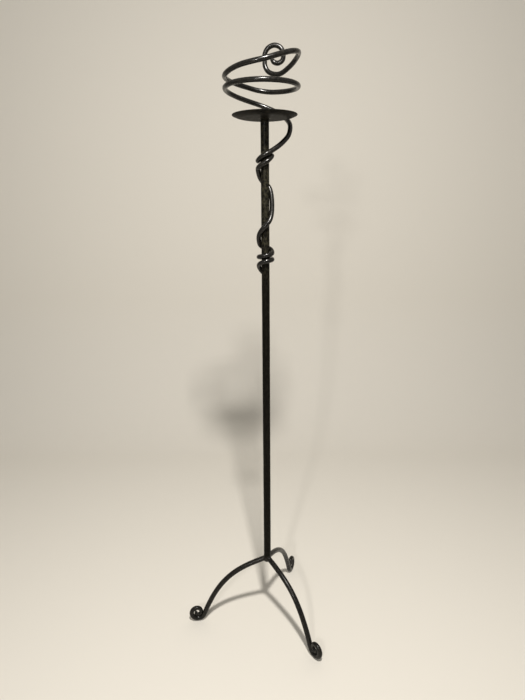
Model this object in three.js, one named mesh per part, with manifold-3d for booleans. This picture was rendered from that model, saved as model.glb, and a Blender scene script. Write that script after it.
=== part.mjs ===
// A torchere: a tall floor stand for one pillar candle, forged from round bar and welded into
// one rigid frame. Millimetres, +Z up, and the photographed front is seen along +Y.
//
// Three arched legs with scroll feet carry a tube pole, and a shallow drip plate is welded on
// the pole's top. A thinner bar knots round the pole, climbs it in one loose turn, knots again
// and swings out past the plate's rim. There it meets the coil that fences the candle and
// ends in a standing eye.
//
// It imports three and manifold-3d, and its default export is the finished group.

import * as THREE from 'three';
import { mergeVertices } from 'three/addons/utils/BufferGeometryUtils.js';
import Module from 'manifold-3d';

const wasm = await Module();
wasm.setup();

// ---------------------------------------------------------------- driving dimensions

const CLEARANCE = 0.3; // gap that two touching pieces keep

const POLE_DIAMETER = 18;
const POLE_WALL = 2;
const POLE_TAIL = 9.5; // pole below the height at which the legs meet it

const LEG_DIAMETER = 12.5;
const HUB_HEIGHT = 170.5; // where the legs' centre lines reach the pole
const HUB_SLOPE = 16.5; // degrees below level at which a leg leaves the pole
const ARCH_SHOULDER = 86; // how far the arch holds its direction at the pole
const ARCH_SHIN = 108; // how far it holds its direction above the foot
const FOOT_REACH = 186; // pole's axis to the middle of a scroll foot
const REAR_LEG_HEADING = 67.5; // degrees from +X, counter-clockwise seen from above
const SCROLL_RADIUS = 16.3; // scroll's centre line where it touches the floor
const SCROLL_TIP_DIAMETER = 7.6; // the bar is drawn down to this inside the scroll

const SEAT_HEIGHT = 1232; // level middle of the drip plate, on which the candle stands
const PLATE_DIAMETER = 136.5;
const SEAT_DIAMETER = 92;
const PLATE_THICKNESS = 2;
const PLATE_RISE = 5.2; // rim above the seat

const ROD_DIAMETER = 10;
const ROD_TIP_DIAMETER = 7; // the rod's free ends are drawn down to this
const ROD_TIP_LENGTH = 9;
const KNOT_SLACK = 0.4; // how loosely the rod lies on the pole
const LOWER_KNOT_DROP = 323.5; // seat down to the rod's lower end
const UPPER_KNOT_DROP = 100.5; // seat down to where the upper knot starts
const RIM_GAP = 3.4; // daylight between the rod and the plate's rim

const COIL_RADIUS = 77; // centre line of the coil round the candle
const COIL_OFFSET_X = -6; // the coil's axis stands left of the pole's axis
const COIL_OFFSET_Y = 28; // and behind it
const COIL_RISE = 123.5; // seat up to the highest point of the coil's centre line
const EYE_RADIUS = 29.1; // centre line of the standing eye at its foot and its crown
const EYE_RISE = 133.7; // seat up to the eye's centre
const EYE_OFFSET_X = 28; // eye's centre right of the coil's axis
const EYE_SETBACK = 3; // eye's plane behind the rear of the coil
const EYE_LEAD = 6; // how far before its plane the eye's foot starts

const HUB_WELD_SIZE = 1.5; // weld metal round each leg's root
const PLATE_WELD_SIZE = 3.5; // fillet under the plate
const TACK_RADIUS = 3.8; // lump that holds the rod on the pole
const LOWER_TACK_TURN = 142; // degrees along the rod at which a tack sits under it
const UPPER_TACK_TURN = 1530;
const COLLAR_LENGTH = 7; // bead round the joint of rod and coil
const COLLAR_THICKNESS = 1.2;

const BAR_SIDES = 12;
const ROUND_SIDES = 44;
const RINGS_PER_POINT = 2;
const CLIMB_STEP = 27; // degrees of turn between two points of the climb
const SWING_STEP = 12; // and of the swing, the coil and the eye
const COIL_STEP = 20;
const EYE_STEP = 30;

// ---------------------------------------------------------------- sizes worked out from them

const POLE_RADIUS = POLE_DIAMETER / 2;
const LEG_RADIUS = LEG_DIAMETER / 2;
const ROD_RADIUS = ROD_DIAMETER / 2;
const PLATE_RADIUS = PLATE_DIAMETER / 2;
const PLATE_UNDERSIDE = SEAT_HEIGHT - PLATE_THICKNESS;
const POLE_TOP = PLATE_UNDERSIDE - CLEARANCE;
const POLE_BOTTOM = HUB_HEIGHT - POLE_TAIL;
const ROD_REACH = POLE_RADIUS + CLEARANCE + KNOT_SLACK + ROD_RADIUS; // its centre line on the pole
const LOWER_KNOT_START = SEAT_HEIGHT - LOWER_KNOT_DROP;
const UPPER_KNOT_START = SEAT_HEIGHT - UPPER_KNOT_DROP;

const radians = THREE.MathUtils.degToRad;
const { lerp, clamp } = THREE.MathUtils;

// ---------------------------------------------------------------- finishes

const forgedIron = (name, color, roughness) =>
  new THREE.MeshStandardMaterial({ name, color, roughness, metalness: 0.85 });

const frameIron = forgedIron('blackened_iron', 0x1d1a16, 0.42);
const rodIron = forgedIron('rubbed_iron', 0x2b2720, 0.34);
const plateIron = forgedIron('plate_iron', 0x2a2621, 0.5);

// ---------------------------------------------------------------- solids

function toSolid(geometry) {
  const bare = geometry.clone();
  bare.deleteAttribute('normal');
  bare.deleteAttribute('uv');
  const welded = mergeVertices(bare, 1e-4);
  return new wasm.Manifold(new wasm.Mesh({
    numProp: 3,
    vertProperties: new Float32Array(welded.attributes.position.array),
    triVerts: new Uint32Array(welded.index.array),
  }));
}

function toGeometry(solid) {
  const mesh = solid.getMesh();
  const geometry = new THREE.BufferGeometry();
  geometry.setAttribute('position', new THREE.BufferAttribute(mesh.vertProperties, 3));
  geometry.setIndex(new THREE.BufferAttribute(mesh.triVerts, 1));
  geometry.computeVertexNormals();
  return geometry;
}

// A closed profile of [radius, height] turned round +Z, its outer wall listed upwards.
function turned(profile) {
  const points = profile.map(([radius, height]) => new THREE.Vector2(radius, height));
  return new THREE.LatheGeometry(points, ROUND_SIDES).rotateX(Math.PI / 2);
}

// Rings along a stretch of a curve, each with its centre and heading. A trim pulls the first
// ring forward or the last ring back along the bar.
function ringsAlong(curve, from, to, count, trimStart = 0, trimEnd = 0) {
  const rings = Array.from({ length: count + 1 }, (_, i) => {
    const t = lerp(from, to, i / count);
    return { centre: curve.getPoint(t), heading: curve.getTangent(t) };
  });
  rings[0].centre.addScaledVector(rings[0].heading, trimStart);
  rings[count].centre.addScaledVector(rings[count].heading, -trimEnd);
  return rings;
}

// A round bar through the rings. Its section follows them without twisting, and
// radiusAt(distance, length) lets the bar be drawn down towards a tip.
function sweepBar(rings, radiusAt) {
  const distances = [0];
  for (let i = 1; i < rings.length; i += 1) {
    distances.push(distances[i - 1] + rings[i].centre.distanceTo(rings[i - 1].centre));
  }
  const length = distances[rings.length - 1];
  const positions = [];
  const side = new THREE.Vector3(0, 1, 0);
  rings.forEach(({ centre, heading }, i) => {
    side.addScaledVector(heading, -side.dot(heading)).normalize();
    const across = heading.clone().cross(side);
    const radius = radiusAt(distances[i], length);
    for (let k = 0; k < BAR_SIDES; k += 1) {
      const angle = (2 * Math.PI * k) / BAR_SIDES;
      const corner = centre.clone()
        .addScaledVector(side, radius * Math.cos(angle))
        .addScaledVector(across, radius * Math.sin(angle));
      positions.push(...corner.toArray());
    }
  });
  positions.push(...rings[0].centre.toArray(), ...rings[rings.length - 1].centre.toArray());
  const startCentre = rings.length * BAR_SIDES;
  const lastRing = startCentre - BAR_SIDES;
  const triangles = [];
  for (let k = 0; k < BAR_SIDES; k += 1) {
    const next = (k + 1) % BAR_SIDES;
    for (let ring = 0; ring < lastRing; ring += BAR_SIDES) {
      triangles.push(ring + k, ring + next, ring + BAR_SIDES + next);
      triangles.push(ring + k, ring + BAR_SIDES + next, ring + BAR_SIDES + k);
    }
    triangles.push(startCentre, next, k);
    triangles.push(startCentre + 1, lastRing + k, lastRing + next);
  }
  const geometry = new THREE.BufferGeometry();
  geometry.setAttribute('position', new THREE.Float32BufferAttribute(positions, 3));
  geometry.setIndex(triangles);
  geometry.computeVertexNormals();
  return geometry;
}

// ---------------------------------------------------------------- pole

function poleGeometry() {
  const bore = POLE_RADIUS - POLE_WALL;
  return turned([
    [bore, POLE_BOTTOM],
    [POLE_RADIUS, POLE_BOTTOM],
    [POLE_RADIUS, POLE_TOP],
    [bore, POLE_TOP],
    [bore, POLE_BOTTOM],
  ]);
}

// The room that the pole takes, which everything seated on it is cut back to.
function poleEnvelope() {
  const reach = POLE_RADIUS + CLEARANCE;
  return toSolid(turned([[0, 0], [reach, 0], [reach, SEAT_HEIGHT], [0, SEAT_HEIGHT]]));
}

// ---------------------------------------------------------------- legs

// The scroll from where the arch runs into it, round its sole and in to the bar's tip.
// Stations are [degrees round the scroll, share of its radius].
const SCROLL = [
  [202, 1.06], [236, 1.04], [270, 1], [360, 1], [450, 0.91], [500, 0.63], [545, 0.38],
  [590, 0.33], [640, 0.33], [700, 0.33], [735, 0.32],
];

// The scroll's centre line in the leg's own plane, +X away from the pole.
function scrollPoints() {
  const steps = 22;
  const [first, last] = [SCROLL[0][0], SCROLL.at(-1)[0]];
  const smooth = new THREE.CubicInterpolant(
    SCROLL.map(([degrees]) => degrees),
    SCROLL.map(([, share]) => share),
    1,
  );
  return Array.from({ length: steps + 1 }, (_, i) => {
    const degrees = lerp(first, last, i / steps);
    const reach = SCROLL_RADIUS * smooth.evaluate(degrees)[0];
    return new THREE.Vector3(
      FOOT_REACH + reach * Math.cos(radians(degrees)),
      0,
      SCROLL_RADIUS + LEG_RADIUS + reach * Math.sin(radians(degrees)),
    );
  });
}

// A leg's centre line. One Bezier arch runs from the pole to the scroll and on round it.
function legCurve() {
  const scroll = scrollPoints();
  const slope = radians(HUB_SLOPE);
  const leaving = new THREE.Vector3(Math.cos(slope), 0, -Math.sin(slope));
  const hub = new THREE.Vector3(POLE_RADIUS, 0, HUB_HEIGHT);
  const entry = scroll[0];
  const round = radians(SCROLL[0][0]);
  const landing = new THREE.Vector3(-Math.sin(round), 0, Math.cos(round));
  const arch = new THREE.CubicBezierCurve3(
    hub,
    hub.clone().addScaledVector(leaving, ARCH_SHOULDER),
    entry.clone().addScaledVector(landing, -ARCH_SHIN),
    entry,
  );
  const root = hub.clone().addScaledVector(leaving, -POLE_RADIUS / 2);
  const points = [root, ...arch.getSpacedPoints(12), ...scroll.slice(1)];
  return new THREE.CatmullRomCurve3(points, false, 'centripetal');
}

// The bar keeps its size down the arch and round the sole, then thins to the scroll's tip.
const scrollLength = new THREE.CatmullRomCurve3(scrollPoints(), false, 'centripetal').getLength();

function legRadius(distance, length) {
  const drawn = scrollLength - radians(90) * SCROLL_RADIUS;
  const kept = clamp((length - distance) / drawn, 0, 1);
  return lerp(SCROLL_TIP_DIAMETER / 2, LEG_RADIUS, kept);
}

function legSolid(extra = 0) {
  const curve = legCurve();
  const count = Math.round((curve.points.length - 1) * 1.5);
  const rings = ringsAlong(curve, 0, 1, count);
  return toSolid(sweepBar(rings, (distance, length) => legRadius(distance, length) + extra));
}

// The leg starts inside the pole and is cut back to a saddle that seats on it.
function legGeometry() {
  return toGeometry(legSolid().subtract(poleEnvelope()));
}

// ---------------------------------------------------------------- drip plate

function plateGeometry() {
  const steps = 6;
  const under = [[0, PLATE_UNDERSIDE]];
  const top = [[0, SEAT_HEIGHT]];
  for (let i = 0; i <= steps; i += 1) {
    const out = i / steps;
    const radius = lerp(SEAT_DIAMETER / 2, PLATE_RADIUS, out);
    const lift = PLATE_RISE * out ** 2;
    under.push([radius, PLATE_UNDERSIDE + lift]);
    top.push([radius, SEAT_HEIGHT + lift]);
  }
  return turned([...under, ...top.reverse()]);
}

// ---------------------------------------------------------------- climbing rod and candle coil

// Turns at an even spacing near the given step, from one turn to another.
function evenly(from, to, step) {
  const count = Math.round((to - from) / step);
  return Array.from({ length: count + 1 }, (_, i) => lerp(from, to, i / count));
}

// Points of a winding round the vertical axis through (x, y), at the given turns. Stations are
// [turn in degrees, reach, height], and reach and height run smoothly through them.
function winding(x, y, stations, turns) {
  const smooth = new THREE.CubicInterpolant(
    stations.map(([turn]) => turn),
    stations.flatMap(([, ...rest]) => rest),
    2,
  );
  return turns.map((turn) => {
    const [reach, height] = smooth.evaluate(turn);
    return new THREE.Vector3(
      x + reach * Math.cos(radians(turn)),
      y + reach * Math.sin(radians(turn)),
      height,
    );
  });
}

// Two snug turns on the pole. Stations are [turn, rise in rod diameters].
const LOWER_KNOT = [
  [110, 0], [181, 1.8], [278, 2.85], [359, 3.15], [450, 3.4], [541, 3.7],
  [630, 4.1], [719, 4.65], [766, 5.35], [859, 6.2],
];

// One long open turn. Stations are [turn, share of the way from knot to knot].
const LOOSE_CLIMB = [
  [901, 0.1], [969, 0.23], [1036, 0.35], [1065, 0.45], [1092, 0.6], [1130, 0.75], [1200, 0.85],
];

// One tilted turn, high on the right. Stations are [turn, rise in rod diameters].
const UPPER_KNOT = [
  [1261, -0.15], [1310, 0.45], [1362, 1.27], [1439, 2.5], [1530, 2.15], [1621, 1.5],
  [1674, 2.1], [1708, 2.6],
];

// The swing out past the plate. Stations are [turn, share of the way out, share of the way up].
const SWING = [
  [1775, 0.07, 0.13], [1796, 0.21, 0.22], [1809, 0.38, 0.33], [1820, 0.6, 0.48],
  [1831, 0.78, 0.67], [1837, 0.88, 0.78], [1846, 1, 0.9],
];

// Nearly two turns round the candle: a steep start behind the plate, a level turn, then one
// that climbs to the right and dips to the eye. Stations are [turn, share of the coil's rise].
const COIL = [
  [58, 0.166], [85, 0.301], [118, 0.403], [160, 0.474], [200, 0.494], [300, 0.502],
  [356, 0.51], [410, 0.528], [445, 0.555], [483, 0.632], [515, 0.664], [563, 0.686],
  [595, 0.733], [635, 0.796], [678, 0.935], [716, 1], [738, 0.972], [758, 0.915],
  [776, 0.822],
];

// The standing eye, wound inwards clockwise from its foot as the front sees it. Stations are
// [degrees, share of its radius].
const EYE = [
  [86, 1], [118, 0.89], [150, 0.77], [181, 0.7], [214, 0.82], [245, 0.94], [278, 1.01],
  [304, 0.94], [336, 0.76], [362, 0.61], [385, 0.48], [403, 0.4], [428, 0.33], [450, 0.29],
  [477, 0.25], [506, 0.22], [546, 0.2], [566, 0.2],
];

const climbTurns = [
  ...evenly(LOWER_KNOT[0][0], SWING[0][0], CLIMB_STEP).slice(0, -1),
  ...evenly(SWING[0][0], SWING.at(-1)[0], SWING_STEP),
];

function climbPoints() {
  const knotTop = LOWER_KNOT_START + LOWER_KNOT.at(-1)[1] * ROD_DIAMETER;
  const kneeHeight = UPPER_KNOT_START + UPPER_KNOT.at(-1)[1] * ROD_DIAMETER;
  const rimReach = PLATE_RADIUS + RIM_GAP + ROD_RADIUS;
  const rimHeight = SEAT_HEIGHT + PLATE_RISE;
  const stations = [
    ...LOWER_KNOT.map(([turn, rise]) => [turn, ROD_REACH, LOWER_KNOT_START + rise * ROD_DIAMETER]),
    ...LOOSE_CLIMB.map(([turn, up]) => [turn, ROD_REACH, lerp(knotTop, UPPER_KNOT_START, up)]),
    ...UPPER_KNOT.map(([turn, rise]) => [turn, ROD_REACH, UPPER_KNOT_START + rise * ROD_DIAMETER]),
    ...SWING.map(([turn, out, up]) => [
      turn, lerp(ROD_REACH, rimReach, out), lerp(kneeHeight, rimHeight, up),
    ]),
  ];
  return winding(0, 0, stations, climbTurns);
}

function coilPoints() {
  const stations = COIL.map(([turn, share]) => [turn, COIL_RADIUS, SEAT_HEIGHT + share * COIL_RISE]);
  const turns = evenly(COIL[0][0], COIL.at(-1)[0], COIL_STEP);
  return winding(COIL_OFFSET_X, COIL_OFFSET_Y, stations, turns);
}

function eyePoints() {
  const x = COIL_OFFSET_X + EYE_OFFSET_X;
  const y = COIL_OFFSET_Y + COIL_RADIUS + EYE_SETBACK;
  const smooth = new THREE.CubicInterpolant(
    EYE.map(([turn]) => turn),
    EYE.map(([, share]) => share),
    1,
  );
  return evenly(EYE[0][0], EYE.at(-1)[0], EYE_STEP).map((turn) => {
    const reach = EYE_RADIUS * smooth.evaluate(turn)[0];
    const before = clamp(1 - (turn - EYE[0][0]) / 90, 0, 1);
    return new THREE.Vector3(
      x + reach * Math.cos(radians(turn)),
      y - EYE_LEAD * before ** 2,
      SEAT_HEIGHT + EYE_RISE - reach * Math.sin(radians(turn)),
    );
  });
}

// Rod and coil follow one flowing line, and meet behind the plate where the coil's turns begin.
const climb = climbPoints();
const line = [...climb, ...coilPoints(), ...eyePoints()];
const flow = new THREE.CatmullRomCurve3(line, false, 'centripetal');
const joint = climb.length / (line.length - 1);

// The bar is drawn down over its last few millimetres, here measured from the free end.
function tipRadius(fromTip) {
  return lerp(ROD_TIP_DIAMETER / 2, ROD_RADIUS, clamp(fromTip / ROD_TIP_LENGTH, 0, 1));
}

function climbingRodSolid(extra = 0) {
  const count = climb.length * RINGS_PER_POINT;
  const rings = ringsAlong(flow, 0, joint, count, 0, CLEARANCE / 2);
  return toSolid(sweepBar(rings, (distance) => tipRadius(distance) + extra));
}

function candleCoilSolid(extra = 0) {
  const count = (line.length - 1 - climb.length) * RINGS_PER_POINT;
  const rings = ringsAlong(flow, joint, 1, count, CLEARANCE / 2, 0);
  return toSolid(sweepBar(rings, (distance, length) => tipRadius(length - distance) + extra));
}

// ---------------------------------------------------------------- welds

// Weld metal run round the roots of the three legs, in one piece with a belt round the pole.
function hubWeldGeometry(headings) {
  const belt = LEG_RADIUS + HUB_WELD_SIZE / 2;
  const girth = POLE_RADIUS + HUB_WELD_SIZE;
  let metal = toSolid(turned([
    [0, HUB_HEIGHT - belt],
    [POLE_RADIUS + CLEARANCE * 2, HUB_HEIGHT - belt],
    [girth, HUB_HEIGHT - belt + HUB_WELD_SIZE],
    [girth, HUB_HEIGHT + belt - HUB_WELD_SIZE],
    [POLE_RADIUS + CLEARANCE * 2, HUB_HEIGHT + belt],
    [0, HUB_HEIGHT + belt],
  ]));
  const toe = POLE_RADIUS + 1.5 * HUB_WELD_SIZE;
  const collar = new THREE.CylinderGeometry(
    LEG_RADIUS + CLEARANCE + 0.2 * HUB_WELD_SIZE,
    LEG_RADIUS + HUB_WELD_SIZE,
    toe,
    ROUND_SIDES / 2,
  );
  collar.rotateZ(-Math.PI / 2).translate(toe / 2, 0, 0).rotateY(radians(HUB_SLOPE));
  collar.translate(0, 0, HUB_HEIGHT + POLE_RADIUS * Math.tan(radians(HUB_SLOPE)));
  const legRoom = legSolid(CLEARANCE);
  for (const heading of headings) {
    metal = metal.add(toSolid(collar).rotate([0, 0, heading]));
  }
  for (const heading of headings) {
    metal = metal.subtract(legRoom.rotate([0, 0, heading]));
  }
  return toGeometry(metal.subtract(poleEnvelope()));
}

// A fillet round the pole under the plate.
function plateWeldGeometry() {
  const inner = POLE_RADIUS + CLEARANCE;
  const top = POLE_TOP;
  const size = PLATE_WELD_SIZE;
  return turned([
    [inner, top - size],
    [inner + 0.4 * size, top - 0.4 * size],
    [inner + size, top],
    [inner, top],
    [inner, top - size],
  ]);
}

// The rod's centre where it has wound this far round the pole.
function rodCentre(turn) {
  const next = climbTurns.findIndex((reached) => reached > turn);
  const [before, after] = [climbTurns[next - 1], climbTurns[next]];
  return flow.getPoint((next - 1 + (turn - before) / (after - before)) / (line.length - 1));
}

// A lump in the corner under the rod, where the rod has wound this far round the pole.
function tackGeometry(turn) {
  const centre = rodCentre(turn);
  const outward = new THREE.Vector3(centre.x, centre.y, 0).normalize();
  const lump = new THREE.SphereGeometry(TACK_RADIUS, 16, 12);
  const place = outward.multiplyScalar(POLE_RADIUS + TACK_RADIUS / 2);
  lump.translate(place.x, place.y, centre.z - ROD_RADIUS - TACK_RADIUS / 3);
  const metal = toSolid(lump).subtract(poleEnvelope());
  return toGeometry(metal.subtract(climbingRodSolid(CLEARANCE)));
}

// A bead round the butt joint of rod and coil, following the bar's bend. It is fullest in the
// middle and runs out to nothing at both toes.
function collarWeldGeometry() {
  const inner = ROD_RADIUS + CLEARANCE;
  const stretch = (length) => [-1, 1].map((side) => {
    const probe = (side * 0.02) / (line.length - 1);
    const gone = flow.getPoint(joint + probe).distanceTo(flow.getPoint(joint));
    return joint + (probe * length) / (2 * gone);
  });
  const bead = sweepBar(
    ringsAlong(flow, ...stretch(COLLAR_LENGTH), 4),
    (distance, length) => {
      const fullness = Math.sin(Math.PI * clamp(distance / length, 0.1, 0.9));
      return inner + COLLAR_THICKNESS * fullness;
    },
  );
  const slit = sweepBar(ringsAlong(flow, ...stretch(4 * CLEARANCE), 2), () => inner);
  const room = climbingRodSolid(CLEARANCE).add(candleCoilSolid(CLEARANCE)).add(toSolid(slit));
  return toGeometry(toSolid(bead).subtract(room));
}

// ---------------------------------------------------------------- daylight in the windings

// The least gap that a bar of one radius leaves to itself, measured between points of its
// centre line that lie more than two bar widths apart along it.
function leastGap(curve, radius) {
  const count = 1500;
  const points = curve.getSpacedPoints(count);
  const apart = Math.ceil((4 * radius * count) / curve.getLength());
  let least = Infinity;
  for (let i = 0; i < count; i += 1) {
    for (let k = i + apart; k <= count; k += 1) {
      least = Math.min(least, points[i].distanceToSquared(points[k]));
    }
  }
  return Math.sqrt(least) - 2 * radius;
}

console.log(`rod and coil keep ${leastGap(flow, ROD_RADIUS).toFixed(2)} mm from themselves`);

// ---------------------------------------------------------------- assembly

const stand = new THREE.Group();

function addPiece(name, geometry, material, heading = 0) {
  const piece = new THREE.Mesh(geometry, material);
  piece.name = name;
  piece.rotation.z = radians(heading);
  stand.add(piece);
}

const legHeadings = {
  leg_rear: REAR_LEG_HEADING,
  leg_left: REAR_LEG_HEADING + 120,
  leg_right: REAR_LEG_HEADING + 240,
};

addPiece('pole', poleGeometry(), frameIron);
for (const [name, heading] of Object.entries(legHeadings)) {
  addPiece(name, legGeometry(), frameIron, heading);
}
addPiece('weld_hub', hubWeldGeometry(Object.values(legHeadings)), frameIron);
addPiece('drip_plate', plateGeometry(), plateIron);
addPiece('weld_plate', plateWeldGeometry(), frameIron);
addPiece('climbing_rod', toGeometry(climbingRodSolid()), rodIron);
addPiece('candle_coil', toGeometry(candleCoilSolid()), rodIron);
addPiece('weld_coil', collarWeldGeometry(), rodIron);
addPiece('tack_lower_knot', tackGeometry(LOWER_TACK_TURN), rodIron);
addPiece('tack_upper_knot', tackGeometry(UPPER_TACK_TURN), rodIron);

// The origin is on the floor under the middle of the stand's bounding box.
stand.updateMatrixWorld(true);
const bounds = new THREE.Box3().setFromObject(stand, true);
const middle = bounds.getCenter(new THREE.Vector3());
stand.position.set(-middle.x, -middle.y, -bounds.min.z);
stand.updateMatrixWorld(true);

export default stand;
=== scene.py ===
# %% [markdown]
# # A forged torchere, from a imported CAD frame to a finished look
#
# A torchere is a tall floor stand for one candle. This one is all round bar, tube and sheet,
# blackened in the forge and rubbed back, then welded into one rigid frame. The CAD model
# already has every piece in its true place and size. What it lacks is smoothness, hammer marks
# and a finish, and those are what this lesson makes.

# %% Load the frame
import bpy
import numpy as np
from mathutils import Matrix, Vector


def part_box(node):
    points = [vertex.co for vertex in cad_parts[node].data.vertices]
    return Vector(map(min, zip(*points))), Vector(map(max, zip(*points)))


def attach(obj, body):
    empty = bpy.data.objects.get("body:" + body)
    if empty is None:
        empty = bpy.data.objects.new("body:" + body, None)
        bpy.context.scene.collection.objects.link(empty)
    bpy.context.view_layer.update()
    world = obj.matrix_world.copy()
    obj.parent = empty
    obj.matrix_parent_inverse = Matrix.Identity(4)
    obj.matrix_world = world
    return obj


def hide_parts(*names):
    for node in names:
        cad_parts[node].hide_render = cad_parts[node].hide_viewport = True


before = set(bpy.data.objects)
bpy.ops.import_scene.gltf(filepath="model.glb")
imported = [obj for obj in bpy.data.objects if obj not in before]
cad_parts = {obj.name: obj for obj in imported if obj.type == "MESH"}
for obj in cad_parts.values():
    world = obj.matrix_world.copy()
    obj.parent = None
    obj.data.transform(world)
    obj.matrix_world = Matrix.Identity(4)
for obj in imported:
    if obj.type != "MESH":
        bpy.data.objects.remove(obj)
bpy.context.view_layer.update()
MM = 0.001
print("nodes:", ", ".join(sorted(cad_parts)))

# %% [markdown]
# ## Where the pole stands
#
# All the bars are described from the pole's axis, in millimetres from the floor, as a smith
# would mark them out. The frame's origin is under the middle of the whole stand instead, so
# the pole's own box tells how far the axis is from it, and the seat tells the height.

# %% The pole's axis in the frame
SEAT_HEIGHT = 1232.0
PLATE_THICKNESS = 2.0
CLEARANCE = 0.3

pole_low, pole_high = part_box("pole")
pole_top_mm = SEAT_HEIGHT - PLATE_THICKNESS - CLEARANCE
POLE_AXIS = np.array([
    (pole_low.x + pole_high.x) / 2,
    (pole_low.y + pole_high.y) / 2,
    pole_high.z - pole_top_mm * MM,
])
print("pole axis at x %.4f m, y %.4f m, lift %.5f m" % tuple(POLE_AXIS))


def from_pole_axis(points_mm):
    """Millimetres from the pole's axis and the floor, turned into metres in the frame."""
    return np.asarray(points_mm, float) * MM + POLE_AXIS


# %% [markdown]
# ## The camera
#
# The photograph was taken from a little above the middle of the stand and looks down on its
# feet. The lens follows from the picture: 526 pixels of focal length on a frame 700 pixels
# high. The camera leans by half a degree, so its axes are written out one by one instead of
# as three angles.

# %% Place the camera
FOCAL_PIXELS = 526.0
FRAME_HEIGHT_PIXELS = 700.0
CAMERA_PLACE = from_pole_axis([-8.4, -1180.0, 1052.7])
LOOK_DOWN = np.radians(15.23)
LEAN = 0.00805

level_right = np.array([1.0, 0.0, 0.0])
forward = np.array([0.0, np.cos(LOOK_DOWN), -np.sin(LOOK_DOWN)])
level_up = np.cross(level_right, forward)
right = level_right * np.cos(LEAN) - level_up * np.sin(LEAN)
up = level_right * np.sin(LEAN) + level_up * np.cos(LEAN)

lens = bpy.data.cameras.new("studio_camera")
lens.sensor_width = 36.0
lens.lens = lens.sensor_width * FOCAL_PIXELS / FRAME_HEIGHT_PIXELS
camera = bpy.data.objects.new("studio_camera", lens)
bpy.context.scene.collection.objects.link(camera)
camera.matrix_world = Matrix((
    (right[0], up[0], -forward[0], CAMERA_PLACE[0]),
    (right[1], up[1], -forward[1], CAMERA_PLACE[1]),
    (right[2], up[2], -forward[2], CAMERA_PLACE[2]),
    (0.0, 0.0, 0.0, 1.0),
))
bpy.context.scene.camera = camera
print("lens %.2f mm" % lens.lens)

# %% [markdown]
# ## From a grid of points to a mesh
#
# Every new piece in this lesson is a surface of two parameters: i runs along the piece and j
# runs round it. Working the points out as whole arrays keeps the code close to the formula,
# and one helper joins neighbouring points into faces.


# %% A helper that joins a grid
def grid_faces(along, around, closed_along, closed_round):
    """The corner numbers of each four-sided face of a grid, and the steps i and j of its first
    corner. A closed direction joins its last step to its first."""
    rows = along if closed_along else along - 1
    columns = around if closed_round else around - 1
    i, j = np.meshgrid(np.arange(rows), np.arange(columns), indexing="ij")
    i, j = i.ravel(), j.ravel()
    next_i = (i + 1) % along
    next_j = (j + 1) % around
    corners = [i * around + j, i * around + next_j, next_i * around + next_j, next_i * around + j]
    return np.stack(corners, 1), i, j


def mesh_from_grid(
    name, points, closed_round=False, closed_ends=False, closed_along=False, lengths=None
):
    """points[i, j] is the surface at step i along it and step j round it. closed_ends puts a
    point in the middle of the first and last ring, and lengths gives each ring's distance
    along the piece for its UV map, in metres."""
    along, around = points.shape[:2]
    quads, i, j = grid_faces(along, around, closed_along, closed_round)
    verts = points.reshape(-1, 3)
    faces = quads.tolist()
    if closed_ends:
        first, last = len(verts), len(verts) + 1
        verts = np.vstack([verts, points[0].mean(0), points[-1].mean(0)])
        ring = np.arange(around)
        onward = (ring + 1) % around
        base = (along - 1) * around
        faces += np.stack([np.full(around, first), onward, ring], 1).tolist()
        faces += np.stack([np.full(around, last), base + ring, base + onward], 1).tolist()
    mesh = bpy.data.meshes.new(name)
    mesh.from_pydata(verts.tolist(), [], faces)
    mesh.polygons.foreach_set("use_smooth", np.ones(len(mesh.polygons), bool))
    if lengths is not None:
        share = np.stack([j, j + 1, j + 1, j], 1) / around
        here, onward = lengths[i], lengths[(i + 1) % along]
        reached = np.stack([here, here, onward, onward], 1)
        corners = np.stack([reached, share], -1).reshape(-1, 2)
        spare = np.zeros((len(mesh.loops) - len(corners), 2))
        layer = mesh.uv_layers.new(name="UVMap")
        layer.data.foreach_set("uv", np.vstack([corners, spare]).ravel())
    mesh.update()
    piece = bpy.data.objects.new(name, mesh)
    bpy.context.scene.collection.objects.link(piece)
    return piece


# %% [markdown]
# ## Studio floor, wall and light
#
# Dark iron shows hardly any colour of its own. What the eye reads is the reflection of the
# room and of the lamps, so the room matters: a pale floor that curves up into a wall, one small
# bright lamp above and in front, and a weaker one lower down. Small lamps give the narrow
# highlights of waxed iron and fairly sharp shadows. The floor is one sheet swept from level to
# upright, again a surface of two parameters. Its back is clear, so that the stand can also be
# looked at from behind the wall. The air is pale to the eye and in reflections, and gives less
# light than that, so that the shadows stay.


# %% Floor and wall
BEND_STEPS = 32


def floor_and_wall(width, front, back, bend, height):
    """A level sheet that turns up through a quarter circle: the profile is a line, an arc and a
    line, and it is carried straight across the room."""
    arc = np.linspace(0.0, np.pi / 2, BEND_STEPS)
    profile = np.vstack([
        [[front, 0.0]],
        np.stack([back - bend + bend * np.sin(arc), bend - bend * np.cos(arc)], 1),
        [[back, height]],
    ])
    across = np.linspace(-width / 2, width / 2, 2)
    points = np.zeros((len(profile), len(across), 3))
    points[..., 0] = across[None, :]
    points[..., 1] = profile[:, :1]
    points[..., 2] = profile[:, 1:]
    return mesh_from_grid("studio_floor", points)


floor = floor_and_wall(width=14.0, front=-7.0, back=1.5, bend=0.6, height=4.2)
paper = bpy.data.materials.new("studio_paper")
paper.use_nodes = True
paper_shader = paper.node_tree.nodes["Principled BSDF"]
paper_shader.inputs["Base Color"].default_value = (0.76, 0.73, 0.67, 1.0)
paper_shader.inputs["Roughness"].default_value = 0.9
paper_shader.inputs["Specular IOR Level"].default_value = 0.2
floor.data.materials.append(paper)
print("floor of", len(floor.data.polygons), "strips")

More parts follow.
